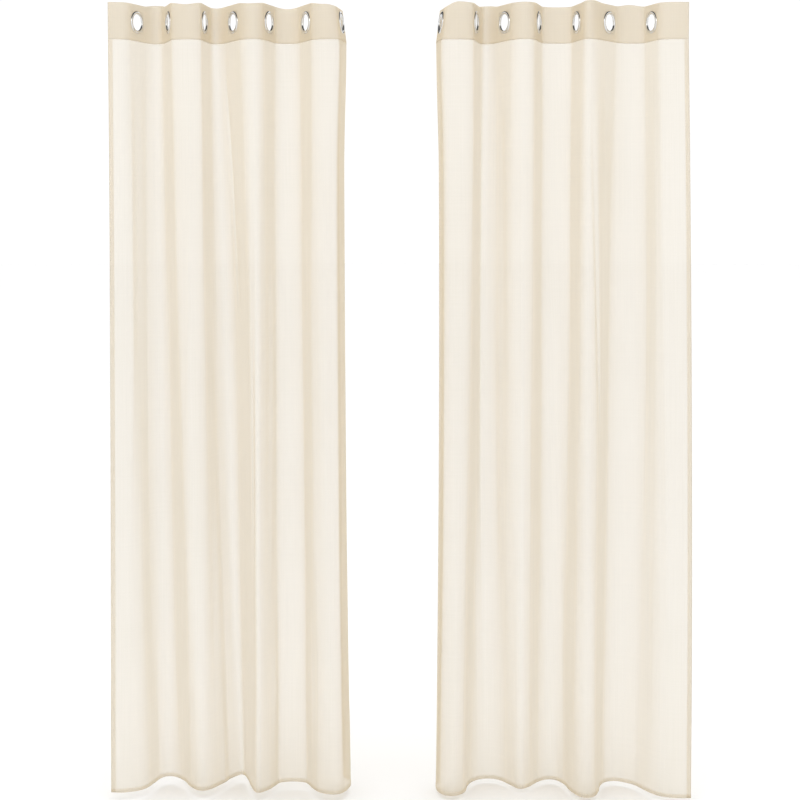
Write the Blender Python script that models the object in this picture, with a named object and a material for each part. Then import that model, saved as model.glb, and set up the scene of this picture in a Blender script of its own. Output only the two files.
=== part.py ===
"""A pair of sheer voile curtain panels with eyelet headings, hung on one rod line.

Units are metres and +Z is up. The origin lies on the line of the rod, midway between the
two panels; the room is towards -Y. Each panel is a voile cloth, a heading band of doubled
voile sewn to its top, and seven metal eyelets clamped through the heading.
"""

import math
from collections import namedtuple

import bmesh
import bpy
from mathutils import Matrix, Vector
from mathutils.geometry import interpolate_bezier

# Sizes that both panels share
FLAT_WIDTH = 1.150
HEADING_HEIGHT = 0.098
TOP_ABOVE_ROD = 0.047
HEADING_THICKNESS = 0.0016
CLOTH_THICKNESS = 0.0012
FITTING_GAP = 0.0003

# Eyelet: two flanges that clip together through the heading, with their catches near the
# rim, so the hole cut in the cloth is a good deal wider than the bore
EYELET_SPACING = 0.160
FLANGE_RADIUS = 0.030
CROWN_RADIUS = 0.0245
CROWN_HEIGHT = 0.0040
BORE_RADIUS = 0.0215
BORE_HALF_LENGTH = 0.0026
BARREL_RADIUS = 0.0258
HOLE_RADIUS = 0.0266
EYELET_SEGMENTS = 16

# The cloth is flat this far to each side of an eyelet's centre, and less so at the hem
FLAT_HALF = 0.0315
HEM_FLAT_HALF = 0.006

# The last eyelet leans into the panel at its top, and the cloth below eases back upright
LEAN = math.radians(7.0)
LEAN_FADE_HEIGHT = 0.35
EYELET_DROOP = 0.011

# The strip from the free outer edge runs nearly along the rod, then turns in to the first
# eyelet; the two handles are shares of the distance between its ends
OUTER_WAY = Vector((-0.995, -0.100))
OUTER_EDGE_HANDLE = 0.58
OUTER_EYELET_HANDLE = 0.30

# The free strip past the last eyelet turns back behind the panel
BACK_CURL = math.radians(55.0)
SHORTEST_BACK = 0.025

# Mesh cells: along the cloth between named places, and down it
FLAT_CELLS = 4
FOLD_CELLS = 6
OUTER_CELLS = 5
BACK_CELLS = 3
CLOTH_ROWS = 9
CURVE_STEPS = 28
MIDDLE = 0.467

# One row per eyelet, from a panel's outer edge to its leading edge. The first three columns
# are distances from the middle of the pair, at the rod, half way down and at the hem, where
# the cloth crosses the line of the rod. hem_back is how far behind that line it crosses at
# the hem. The angles, in degrees, are between the cloth and the rod. hem_reach is how far
# the fold after this crossing stands out at the hem, and top_lift raises its top edge.
Crossing = namedtuple(
    "Crossing", "at_rod at_middle at_hem hem_back rod_angle hem_angle hem_reach top_lift"
)

# The free outer edge: three distances from the middle of the pair, and its place in depth
OuterEdge = namedtuple("OuterEdge", "at_rod at_middle at_hem rod_depth hem_depth")

Panel = namedtuple("Panel", "name side drop corner_droop edge crossings")

LEFT_PANEL = Panel(
    name="left",
    side=-1,
    drop=2.129,
    corner_droop=0.024,
    edge=OuterEdge(0.770, 0.773, 0.781, -0.052, -0.060),
    crossings=(
        Crossing(0.701, 0.698, 0.679, 0.000, 66, 77, +0.063, +0.006),
        Crossing(0.618, 0.605, 0.579, 0.000, 70, 64, -0.048, -0.005),
        Crossing(0.520, 0.512, 0.489, 0.000, 82, 63, +0.078, -0.001),
        Crossing(0.444, 0.417, 0.409, 0.000, 59, 76, -0.063, -0.004),
        Crossing(0.347, 0.344, 0.335, 0.000, 71, 64, +0.022, -0.004),
        Crossing(0.249, 0.250, 0.249, 0.000, 64, 70, -0.078, -0.005),
        Crossing(0.153, 0.147, 0.133, 0.000, 81, 86, 0.000, 0.000),
    ),
)

RIGHT_PANEL = Panel(
    name="right",
    side=+1,
    drop=2.139,
    corner_droop=0.032,
    edge=OuterEdge(0.769, 0.785, 0.792, -0.054, -0.076),
    crossings=(
        Crossing(0.678, 0.684, 0.667, 0.000, 70, 66, +0.052, +0.006),
        Crossing(0.566, 0.560, 0.553, 0.000, 52, 82, -0.074, +0.004),
        Crossing(0.477, 0.473, 0.466, 0.000, 76, 80, +0.067, 0.000),
        Crossing(0.377, 0.379, 0.379, +0.036, 73, 55, -0.007, 0.000),
        Crossing(0.284, 0.284, 0.300, +0.038, 64, 58, +0.074, +0.005),
        Crossing(0.209, 0.203, 0.188, 0.000, 76, 80, -0.062, +0.002),
        Crossing(0.114, 0.114, 0.103, 0.000, 80, 82, 0.000, 0.000),
    ),
)

VOILE_COLOUR = (0.80, 0.72, 0.58)
HEADING_COLOUR = (0.76, 0.66, 0.51)
METAL_COLOUR = (0.72, 0.72, 0.73)


def clear_scene():
    """Remove every object of the scene."""
    for item in list(bpy.data.objects):
        bpy.data.objects.remove(item, do_unlink=True)


def make_material(name, colour, roughness, metallic):
    """Principled material with one colour."""
    material = bpy.data.materials.new(name)
    material.use_nodes = True
    shader = material.node_tree.nodes["Principled BSDF"]
    shader.inputs["Base Color"].default_value = (*colour, 1.0)
    shader.inputs["Roughness"].default_value = roughness
    shader.inputs["Metallic"].default_value = metallic
    return material


def blend(low, high, share):
    """Value a share of the way from low to high."""
    return low + (high - low) * share


def ease(share):
    """Share from 0 to 1 with a level start and end."""
    share = min(max(share, 0.0), 1.0)
    return share * share * (3.0 - 2.0 * share)


def through_three(first, middle, last, share):
    """Smooth value that is first at 0, middle at MIDDLE and last at 1."""
    bulge = (middle - blend(first, last, MIDDLE)) / (MIDDLE * (1.0 - MIDDLE))
    return blend(first, last, share) + bulge * share * (1.0 - share)


def solve(measure, target, low, high):
    """Input between low and high at which a steadily rising measure meets its target."""
    for _ in range(40):
        middle = (low + high) / 2.0
        if measure(middle) < target:
            low = middle
        else:
            high = middle
    return (low + high) / 2.0


def length_of(points):
    """Length of a line through points."""
    return sum((b - a).length for a, b in zip(points, points[1:]))


def fold_curve(start, start_way, end, end_way, handle):
    """One smooth fold from start to end, leaving and arriving along the given ways."""
    return interpolate_bezier(
        start, start + start_way * handle, end - end_way * handle, end, CURVE_STEPS
    )


class PanelPlan:
    """Where a panel's cloth runs, seen from above, at any height.

    Plan points are (distance from the middle of the pair, depth). A share of 0 is the whole
    heading and 1 is the hem. Walking goes from the outer edge to the leading edge.
    """

    def __init__(self, panel):
        self.panel = panel
        count = len(panel.crossings)
        self.rod_handles = [self.rod_handle(i) for i in range(count - 1)]
        self.hem_handles = [self.hem_handle(i) for i in range(count - 1)]
        heading_line = self.line(0.0)
        self.outer_strip = length_of(heading_line[:CURVE_STEPS])
        self.eyelet_places = [
            self.outer_strip + FLAT_HALF + EYELET_SPACING * i for i in range(count)
        ]

    def way(self, index, share):
        """Direction of the cloth where it crosses the line of the rod."""
        row = self.panel.crossings[index]
        angle = math.radians(blend(row.rod_angle, row.hem_angle, share))
        backward = 1.0 if index % 2 == 0 else -1.0
        return Vector((-math.cos(angle), backward * math.sin(angle)))

    def crossing(self, index, share):
        """Point where the cloth crosses the line of the rod."""
        row = self.panel.crossings[index]
        distance = through_three(row.at_rod, row.at_middle, row.at_hem, share)
        return Vector((distance, row.hem_back * share))

    def flat_end(self, index, share, direction):
        """End of the flat stretch before (-1) or after (+1) a crossing."""
        half = blend(FLAT_HALF, HEM_FLAT_HALF, share)
        return self.crossing(index, share) + self.way(index, share) * half * direction

    def fold(self, index, share, handle):
        """The fold between one crossing and the next."""
        return fold_curve(
            self.flat_end(index, share, +1),
            self.way(index, share),
            self.flat_end(index + 1, share, -1),
            self.way(index + 1, share),
            handle,
        )

    def rod_handle(self, index):
        """Handle length that puts one eyelet spacing of cloth between two eyelets."""
        cloth = EYELET_SPACING - 2.0 * FLAT_HALF
        return solve(lambda handle: length_of(self.fold(index, 0.0, handle)), cloth, 0.001, 0.2)

    def hem_handle(self, index):
        """Handle length that gives the fold its reach at the hem."""
        reach = self.panel.crossings[index].hem_reach
        outward = 1.0 if index % 2 == 0 else -1.0

        def furthest(handle):
            return max(outward * point.y for point in self.fold(index, 1.0, handle))

        return solve(furthest, outward * reach, 0.001, 0.2)

    def outer_fold(self, share):
        """The strip from the free outer edge to the first eyelet's flat stretch."""
        edge = self.panel.edge
        start = Vector((
            through_three(edge.at_rod, edge.at_middle, edge.at_hem, share),
            blend(edge.rod_depth, edge.hem_depth, share),
        ))
        end = self.flat_end(0, share, -1)
        reach = (end - start).length
        leaving = start + OUTER_WAY * OUTER_EDGE_HANDLE * reach
        arriving = end - self.way(0, share) * OUTER_EYELET_HANDLE * reach
        return interpolate_bezier(start, leaving, arriving, end, CURVE_STEPS)

    def back_fold(self, share, cloth_left):
        """The strip past the last eyelet, turned back in an arc as long as the cloth left."""
        last = len(self.panel.crossings) - 1
        way = self.way(last, share)
        heading = math.atan2(way.y, way.x)
        radius = cloth_left / BACK_CURL
        start = self.flat_end(last, share, +1)
        centre = start + radius * Vector((math.sin(heading), -math.cos(heading)))
        points = []
        for step in range(CURVE_STEPS):
            turned = heading - BACK_CURL * step / (CURVE_STEPS - 1)
            points.append(centre + radius * Vector((-math.sin(turned), math.cos(turned))))
        return points

    def line(self, share):
        """The whole cloth at one height, as points close together."""
        points = list(self.outer_fold(share))
        for index in range(len(self.panel.crossings) - 1):
            handle = blend(self.rod_handles[index], self.hem_handles[index], share)
            points += self.fold(index, share, handle)
        points.append(self.flat_end(len(self.panel.crossings) - 1, share, +1))
        cloth_left = max(FLAT_WIDTH - length_of(points), SHORTEST_BACK)
        points += self.back_fold(share, cloth_left)[1:]
        return points

    def stations(self):
        """Lengths along the cloth at which the mesh has its columns."""
        first, last = self.eyelet_places[0], self.eyelet_places[-1]
        stations = [(first - FLAT_HALF) * i / OUTER_CELLS for i in range(OUTER_CELLS)]
        for place in self.eyelet_places:
            for i in range(FLAT_CELLS):
                stations.append(place - FLAT_HALF + 2.0 * FLAT_HALF * i / FLAT_CELLS)
            if place == last:
                break
            for i in range(FOLD_CELLS):
                fold = EYELET_SPACING - 2.0 * FLAT_HALF
                stations.append(place + FLAT_HALF + fold * i / FOLD_CELLS)
        back = FLAT_WIDTH - last - FLAT_HALF
        stations += [last + FLAT_HALF + back * i / BACK_CELLS for i in range(BACK_CELLS + 1)]
        return stations

    def places(self, share, stations):
        """Plan point and outward direction at each station along the cloth."""
        points = self.line(share)
        stretch = length_of(points) / FLAT_WIDTH
        found = []
        index, walked = 0, 0.0
        for station in stations:
            target = station * stretch
            step = (points[index + 1] - points[index]).length
            while walked + step < target and index < len(points) - 2:
                walked += step
                index += 1
                step = (points[index + 1] - points[index]).length
            along = (points[index + 1] - points[index]).normalized()
            point = points[index] + along * (target - walked)
            found.append((point, Vector((-along.y, along.x))))
        return found

    def lean_at(self, station):
        """Lean of the cloth towards the panel, easing in over the last fold."""
        last = self.eyelet_places[-1]
        fold = (EYELET_SPACING - 2.0 * FLAT_HALF) / 2.0
        return LEAN * ease((station - (last - FLAT_HALF - fold)) / fold)

    def droop_at(self, station):
        """Droop of the top edge over the last eyelet, and of the free corner past it."""
        flat_start = self.eyelet_places[-1] - FLAT_HALF
        flat_end = flat_start + 2.0 * FLAT_HALF
        fold = (EYELET_SPACING - 2.0 * FLAT_HALF) / 2.0
        over_eyelet = EYELET_DROOP * ease((station - flat_start + fold) / fold)
        free = (station - flat_end) / (FLAT_WIDTH - flat_end)
        return over_eyelet, (self.panel.corner_droop - EYELET_DROOP) * ease(free)

    def lift_at(self, station):
        """Rise of the top edge over the folds between eyelets."""
        fold = EYELET_SPACING - 2.0 * FLAT_HALF
        for place, row in zip(self.eyelet_places, self.panel.crossings):
            along = (station - place - FLAT_HALF) / fold
            if 0.0 < along < 1.0:
                return row.top_lift * math.sin(math.pi * along) ** 2
        return 0.0


def heading_levels():
    """Heights of the heading's mesh rows, from its seam to its top edge."""
    flat = [FLAT_HALF * (2.0 * i / FLAT_CELLS - 1.0) for i in range(FLAT_CELLS + 1)]
    return [TOP_ABOVE_ROD - HEADING_HEIGHT] + flat + [TOP_ABOVE_ROD]


def heading_point(plan, place, station, level):
    """Point of the heading's middle surface at a station and a level over the rod."""
    point, outward = place
    lean = plan.lean_at(station)
    over_eyelet, past_eyelet = plan.droop_at(station)
    seam = TOP_ABOVE_ROD - HEADING_HEIGHT
    level -= past_eyelet * (level - seam) / HEADING_HEIGHT
    if level > FLAT_HALF:
        level += plan.lift_at(station) - over_eyelet
    shifted = point - outward * level * math.sin(lean)
    return Vector((plan.panel.side * shifted.x, shifted.y, level * math.cos(lean)))


def flat_patch(plan, places, stations, index):
    """Centre, and directions along and up the cloth, of the flat patch at an eyelet."""
    column = OUTER_CELLS + index * (FLAT_CELLS + FOLD_CELLS)
    corners = [
        heading_point(plan, places[column + i], stations[column + i], level)
        for i in (0, FLAT_CELLS)
        for level in (-FLAT_HALF, FLAT_HALF)
    ]
    centre = sum(corners, Vector()) / len(corners)
    along = (corners[2] - corners[0]).normalized()
    up = (corners[1] - corners[0]).normalized()
    return column, centre, along, up


def rounded_angle(step):
    """Angle of one corner of an eyelet's polygon."""
    return 2.0 * math.pi * step / EYELET_SEGMENTS


def add_faces(bm, rows, skipped=()):
    """Four-sided faces between rows of vertices, apart from the skipped cells."""
    for i in range(len(rows) - 1):
        for j in range(len(rows[0]) - 1):
            if (i, j) not in skipped:
                bm.faces.new((rows[i][j], rows[i][j + 1], rows[i + 1][j + 1], rows[i + 1][j]))


def patch_rim(rows, column):
    """Vertices around a flat patch, from the middle of its right side, anticlockwise."""
    low, high = 1, 1 + FLAT_CELLS
    left, right = column, column + FLAT_CELLS
    middle = low + FLAT_CELLS // 2
    rim = [rows[i][right] for i in range(middle, high)]
    rim += [rows[high][j] for j in range(right, left, -1)]
    rim += [rows[i][left] for i in range(high, low, -1)]
    rim += [rows[low][j] for j in range(left, right)]
    rim += [rows[i][right] for i in range(low, middle)]
    return rim


def build_heading_surface(plan, patches, places, stations):
    """Middle surface of the heading, with a round hole at each eyelet."""
    bm = bmesh.new()
    inner_columns = {
        column + i for column, *_ in patches for i in range(1, FLAT_CELLS)
    }
    rows = []
    for i, level in enumerate(heading_levels()):
        row = []
        for j, (place, station) in enumerate(zip(places, stations)):
            inside = 1 < i < 1 + FLAT_CELLS and j in inner_columns
            vertex = None
            if not inside:
                vertex = bm.verts.new(heading_point(plan, place, station, level))
            row.append(vertex)
        rows.append(row)
    holes = {
        (1 + i, column + j)
        for column, *_ in patches
        for i in range(FLAT_CELLS)
        for j in range(FLAT_CELLS)
    }
    add_faces(bm, rows, holes)
    for column, centre, along, up in patches:
        rim = patch_rim(rows, column)
        hole = []
        for step in range(EYELET_SEGMENTS):
            angle = rounded_angle(step)
            corner = along * math.cos(angle) + up * math.sin(angle)
            hole.append(bm.verts.new(centre + corner * HOLE_RADIUS))
        for step in range(EYELET_SEGMENTS):
            after = (step + 1) % EYELET_SEGMENTS
            bm.faces.new((hole[step], rim[step], rim[after], hole[after]))
    return bm


def build_cloth_surface(plan, places, stations):
    """Middle surface of the hanging cloth, from just under the heading's seam to the hem."""
    bm = bmesh.new()
    seam = TOP_ABOVE_ROD - HEADING_HEIGHT
    hem = TOP_ABOVE_ROD - plan.panel.drop
    gap = Vector((0.0, 0.0, FITTING_GAP))
    rows = [[
        bm.verts.new(heading_point(plan, place, station, seam) - gap)
        for place, station in zip(places, stations)
    ]]
    for i in range(1, CLOTH_ROWS + 1):
        share = i / CLOTH_ROWS
        height = blend(seam, hem, share)
        upright = ease((seam - height) / LEAN_FADE_HEIGHT)
        row = []
        for (point, outward), station in zip(plan.places(share, stations), stations):
            shift = math.sin(plan.lean_at(station)) * seam * (1.0 - upright)
            shifted = point - outward * shift
            row.append(bm.verts.new((plan.panel.side * shifted.x, shifted.y, height)))
        rows.append(row)
    add_faces(bm, rows)
    return bm


def add_sheet(name, bm, thickness, material):
    """Object from a middle surface, thickened to both sides."""
    bmesh.ops.recalc_face_normals(bm, faces=bm.faces)
    mesh = bpy.data.meshes.new(name)
    bm.to_mesh(mesh)
    bm.free()
    mesh.shade_smooth()
    sheet = bpy.data.objects.new(name, mesh)
    bpy.context.collection.objects.link(sheet)
    solidify = sheet.modifiers.new("Thickness", "SOLIDIFY")
    solidify.thickness = thickness
    solidify.offset = 0.0
    solidify.use_even_offset = True
    mesh.materials.append(material)
    return sheet


def build_eyelet_mesh(material):
    """Ring of both flanges and the barrel, turned about the Y axis."""
    face = HEADING_THICKNESS / 2.0 + FITTING_GAP
    front = [
        (BORE_RADIUS, BORE_HALF_LENGTH),
        (CROWN_RADIUS, CROWN_HEIGHT),
        (FLANGE_RADIUS, face),
        (BARREL_RADIUS, face),
    ]
    section = front + [(radius, -depth) for radius, depth in reversed(front)]
    bm = bmesh.new()
    corners = [bm.verts.new((radius, depth, 0.0)) for radius, depth in section]
    edges = [bm.edges.new((a, b)) for a, b in zip(corners, corners[1:] + corners[:1])]
    bmesh.ops.spin(
        bm,
        geom=corners + edges,
        cent=(0.0, 0.0, 0.0),
        axis=(0.0, 1.0, 0.0),
        angle=2.0 * math.pi,
        steps=EYELET_SEGMENTS,
        use_merge=True,
    )
    bmesh.ops.remove_doubles(bm, verts=bm.verts, dist=0.00001)
    bmesh.ops.recalc_face_normals(bm, faces=bm.faces)
    mesh = bpy.data.meshes.new("eyelet")
    bm.to_mesh(mesh)
    bm.free()
    mesh.shade_smooth()
    mesh.set_sharp_from_angle(angle=math.radians(50.0))
    mesh.materials.append(material)
    return mesh


def build_panel(panel, eyelet_mesh, voile, doubled_voile):
    """One panel: its heading, its cloth and its eyelets, under an empty of its own."""
    plan = PanelPlan(panel)
    stations = plan.stations()
    places = plan.places(0.0, stations)
    patches = [flat_patch(plan, places, stations, i) for i in range(len(panel.crossings))]

    hanging = bpy.data.objects.new(panel.name + "_panel", None)
    bpy.context.collection.objects.link(hanging)

    heading = add_sheet(
        panel.name + "_heading",
        build_heading_surface(plan, patches, places, stations),
        HEADING_THICKNESS,
        doubled_voile,
    )
    cloth = add_sheet(
        panel.name + "_cloth",
        build_cloth_surface(plan, places, stations),
        CLOTH_THICKNESS,
        voile,
    )
    heading.parent = hanging
    cloth.parent = hanging

    for number, (_, centre, along, up) in enumerate(patches, start=1):
        eyelet = bpy.data.objects.new(f"{panel.name}_eyelet_{number}", eyelet_mesh)
        bpy.context.collection.objects.link(eyelet)
        turned = Matrix((along, up.cross(along), up)).transposed()
        eyelet.rotation_euler = turned.to_euler()
        eyelet.location = centre
        eyelet.parent = hanging


def build_curtains():
    """Both panels, as they hang from one rod line."""
    clear_scene()
    voile = make_material("ivory voile", VOILE_COLOUR, 0.85, 0.0)
    doubled_voile = make_material("doubled ivory voile", HEADING_COLOUR, 0.85, 0.0)
    eyelet_mesh = build_eyelet_mesh(make_material("chromed metal", METAL_COLOUR, 0.15, 1.0))
    for panel in (LEFT_PANEL, RIGHT_PANEL):
        build_panel(panel, eyelet_mesh, voile, doubled_voile)


build_curtains()
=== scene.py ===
"""The looks of a pair of sheer voile eyelet curtain panels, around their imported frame.

Units are metres and +Z is up. The origin lies on the line of the rod, midway between the
panels, and the room is towards -Y. Each panel's cloth is laid out flat as (along, down):
along it from its outer edge to its leading edge, and down it from its top edge. The same
few tables as in the part's source say where the folds run.
"""

import logging
import math
from collections.abc import Callable
from dataclasses import dataclass, field
from enum import Enum

import bmesh
import bpy
from mathutils import Euler, Matrix, Vector, noise
from mathutils.geometry import interpolate_bezier

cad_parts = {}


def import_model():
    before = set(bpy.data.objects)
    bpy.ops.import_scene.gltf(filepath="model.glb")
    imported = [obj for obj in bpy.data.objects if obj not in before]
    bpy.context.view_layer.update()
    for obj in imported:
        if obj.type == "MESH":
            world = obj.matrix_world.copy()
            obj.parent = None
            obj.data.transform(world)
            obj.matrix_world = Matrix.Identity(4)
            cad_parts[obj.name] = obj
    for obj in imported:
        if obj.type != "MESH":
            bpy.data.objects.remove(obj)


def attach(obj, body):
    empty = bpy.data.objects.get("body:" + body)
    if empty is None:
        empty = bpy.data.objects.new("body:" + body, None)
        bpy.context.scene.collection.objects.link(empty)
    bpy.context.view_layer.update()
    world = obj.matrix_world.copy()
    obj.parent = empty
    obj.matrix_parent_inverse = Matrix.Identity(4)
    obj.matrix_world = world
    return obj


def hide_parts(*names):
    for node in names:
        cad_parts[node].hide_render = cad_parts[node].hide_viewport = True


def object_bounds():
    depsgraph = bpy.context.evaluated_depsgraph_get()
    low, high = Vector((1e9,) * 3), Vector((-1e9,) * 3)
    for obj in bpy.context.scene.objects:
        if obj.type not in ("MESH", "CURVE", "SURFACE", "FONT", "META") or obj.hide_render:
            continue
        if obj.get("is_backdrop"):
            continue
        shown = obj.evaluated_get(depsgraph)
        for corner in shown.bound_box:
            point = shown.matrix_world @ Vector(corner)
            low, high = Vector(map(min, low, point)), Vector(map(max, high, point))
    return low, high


IMAGE_SIZE = 800
LOG = logging.getLogger("curtains")

# How a panel is cut and sewn
FLAT_WIDTH = 1.150
HEADING_HEIGHT = 0.098
TOP_ABOVE_ROD = 0.047
SEAM = TOP_ABOVE_ROD - HEADING_HEIGHT
SEAM_GAP = 0.0003
SIDE_HEM = 0.012
BOTTOM_HEM = 0.010
LAYER_GAP = 0.0005

# How the cloth hangs from its eyelets
EYELET_SPACING = 0.160
FLAT_HALF = 0.0315
HEM_FLAT_HALF = 0.006
LEAN = math.radians(7.0)
LEAN_FADE_HEIGHT = 0.35
EYELET_DROOP = 0.011
OUTER_WAY = Vector((-0.995, -0.100))
OUTER_EDGE_HANDLE = 0.58
OUTER_EYELET_HANDLE = 0.30
BACK_CURL = math.radians(55.0)
SHORTEST_BACK = 0.025
MIDDLE = 0.467

# How finely the cloth is meshed
CURVE_STEPS = 56
FLAT_CELLS = 8
FOLD_CELLS = 24
OUTER_CELLS = 20
BACK_CELLS = 8
CLOTH_ROW_HEIGHT = 0.011
HALVINGS = 40
SHORTEST_HANDLE = 0.001
LONGEST_HANDLE = 0.2


class Side(Enum):
    """Side of the pair on which a panel hangs, as its sign along X."""

    LEFT = -1
    RIGHT = 1


class Slot(Enum):
    """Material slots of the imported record."""

    VOILE = "voile"
    DOUBLED_VOILE = "doubled_voile"
    EYELET_METAL = "eyelet_metal"


def blend(low: float, high: float, share: float) -> float:
    """Value a share of the way from low to high."""
    return low + (high - low) * share


def ease(share: float) -> float:
    """Share from 0 to 1 with a level start and end."""
    share = min(max(share, 0.0), 1.0)
    return share * share * (3.0 - 2.0 * share)


def through_three(first: float, middle: float, last: float, share: float) -> float:
    """Smooth value that is first at 0, middle at MIDDLE and last at 1."""
    bulge = (middle - blend(first, last, MIDDLE)) / (MIDDLE * (1.0 - MIDDLE))
    return blend(first, last, share) + bulge * share * (1.0 - share)


def length_of(points: list[Vector]) -> float:
    """Length of a line through points."""
    return sum((b - a).length for a, b in zip(points, points[1:]))


def solve(
    measure: Callable[[float], float], target: float, low: float, high: float
) -> float:
    """Find where a steadily rising measure meets its target.

    Args:
        measure: Function of one number.
        target: Value that the measure should reach.
        low: Lowest input to try.
        high: Highest input to try.

    Returns:
        The input between low and high.
    """
    for _ in range(HALVINGS):
        middle = (low + high) / 2.0
        if measure(middle) < target:
            low = middle
        else:
            high = middle
    return (low + high) / 2.0


def linear(hex_colour: str) -> tuple[float, float, float, float]:
    """Turn an sRGB hex colour into a linear one.

    Args:
        hex_colour: The colour, as # and six digits.

    Returns:
        Linear red, green and blue, and an alpha of 1.
    """
    channels = [int(hex_colour[i:i + 2], 16) / 255.0 for i in (1, 3, 5)]
    turned = [c / 12.92 if c <= 0.04045 else ((c + 0.055) / 1.055) ** 2.4 for c in channels]
    return (turned[0], turned[1], turned[2], 1.0)


def add_node(
    tree: bpy.types.NodeTree,
    kind: str,
    inputs: dict[int | str, object] | None = None,
    **settings: object,
) -> bpy.types.Node:
    """Add a node to a tree.

    Args:
        tree: Tree that gets the node.
        kind: Blender's name for the kind of node.
        inputs: Value, or socket to link from, for each input socket.
        settings: The node's own properties.

    Returns:
        The new node.
    """
    node = tree.nodes.new(kind)
    for name, value in settings.items():
        setattr(node, name, value)
    for key, value in (inputs or {}).items():
        if isinstance(value, bpy.types.NodeSocket):
            tree.links.new(value, node.inputs[key])
        else:
            node.inputs[key].default_value = value
    return node


def new_material(name: str) -> tuple[bpy.types.Material, bpy.types.NodeTree]:
    """Make a material with an empty tree.

    Args:
        name: Name of the material.

    Returns:
        The material and its tree.
    """
    material = bpy.data.materials.new(name)
    material.use_nodes = True
    material.node_tree.nodes.clear()
    return material, material.node_tree


def new_object(name: str, mesh: bpy.types.Mesh) -> bpy.types.Object:
    """Put a mesh into the scene.

    Args:
        name: Name of the object.
        mesh: Its mesh, in place.

    Returns:
        The object, at the origin.
    """
    made = bpy.data.objects.new(name, mesh)
    bpy.context.scene.collection.objects.link(made)
    return made


def flattened(source: bpy.types.Object) -> bpy.types.Object:
    """Turn an object's modifiers into plain mesh.

    Args:
        source: Object with live modifiers.

    Returns:
        The same object, without them.
    """
    graph = bpy.context.evaluated_depsgraph_get()
    mesh = bpy.data.meshes.new_from_object(source.evaluated_get(graph))
    mesh.name = source.name
    source.modifiers.clear()
    source.data = mesh
    return source


def run_tree(
    source: bpy.types.Object, tree: bpy.types.NodeTree, values: dict[str, object]
) -> bpy.types.Object:
    """Run a Geometry Nodes tree on an object and keep the result as plain mesh.

    Args:
        source: Object whose mesh feeds the tree.
        tree: The tree to run.
        values: Value of each named input.

    Returns:
        The same object, with the new mesh.
    """
    modifier = source.modifiers.new(tree.name, "NODES")
    modifier.node_group = tree
    for item in tree.interface.items_tree:
        if item.name in values:
            modifier[item.identifier] = values[item.name]
    return flattened(source)


@dataclass(frozen=True)
class Crossing:
    """Where and how the cloth crosses the line of the rod, at one eyelet.

    The three distances are from the middle of the pair, at the rod, half way down and at
    the hem. hem_back is how far behind the rod's line it crosses at the hem. The angles,
    in degrees, are between cloth and rod. hem_reach is how far the next fold stands out at
    the hem, and top_lift raises that fold's top edge.
    """

    at_rod: float
    at_middle: float
    at_hem: float
    hem_back: float
    rod_angle: float
    hem_angle: float
    hem_reach: float
    top_lift: float


@dataclass(frozen=True)
class OuterEdge:
    """The free outer edge: its distance from the middle of the pair, and its depth."""

    at_rod: float
    at_middle: float
    at_hem: float
    rod_depth: float
    hem_depth: float


@dataclass(frozen=True)
class Crease:
    """A soft crease placed on the flat cloth.

    It runs from top to bottom, both measured down from the panel's top edge, while its
    place along the cloth goes from along_top to along_bottom. reach is how far it stands
    out towards the room, or away from it if below 0, and width is its half width.
    """

    along_top: float
    along_bottom: float
    top: float
    bottom: float
    reach: float
    width: float

    def depth_at(self, along: float, down: float) -> float:
        """Find how far the crease stands out at a place on the flat cloth.

        Args:
            along: Length from the panel's outer edge.
            down: Length down from its top edge.

        Returns:
            Distance towards the room.
        """
        share = (down - self.top) / (self.bottom - self.top)
        if not 0.0 < share < 1.0:
            return 0.0
        off = (along - blend(self.along_top, self.along_bottom, share)) / self.width
        return self.reach * math.exp(-off * off) * math.sin(math.pi * share) ** 0.7


@dataclass(frozen=True)
class PanelShape:
    """The measured shape of one hanging panel."""

    name: str
    side: Side
    drop: float
    corner_droop: float
    edge: OuterEdge
    crossings: tuple[Crossing, ...]
    creases: tuple[Crease, ...]


LEFT_PANEL = PanelShape(
    name="left",
    side=Side.LEFT,
    drop=2.129,
    corner_droop=0.024,
    edge=OuterEdge(0.770, 0.773, 0.781, -0.052, -0.060),
    crossings=(
        Crossing(0.701, 0.698, 0.679, 0.000, 66, 77, +0.063, +0.006),
        Crossing(0.618, 0.605, 0.579, 0.000, 70, 64, -0.048, -0.005),
        Crossing(0.520, 0.512, 0.489, 0.000, 82, 63, +0.078, -0.001),
        Crossing(0.444, 0.417, 0.409, 0.000, 59, 76, -0.063, -0.004),
        Crossing(0.347, 0.344, 0.335, 0.000, 71, 64, +0.022, -0.004),
        Crossing(0.249, 0.250, 0.249, 0.000, 64, 70, -0.078, -0.005),
        Crossing(0.153, 0.147, 0.133, 0.000, 81, 86, 0.000, 0.000),
    ),
    creases=(
        Crease(0.520, 0.575, 0.12, 0.95, +0.0035, 0.007),
        Crease(0.070, 0.052, 0.10, 1.60, -0.0030, 0.010),
        Crease(0.660, 0.655, 0.30, 2.05, +0.0025, 0.008),
        Crease(0.350, 0.336, 0.15, 1.20, -0.0025, 0.008),
        Crease(0.980, 0.985, 0.20, 1.80, +0.0025, 0.009),
    ),
)

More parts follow.
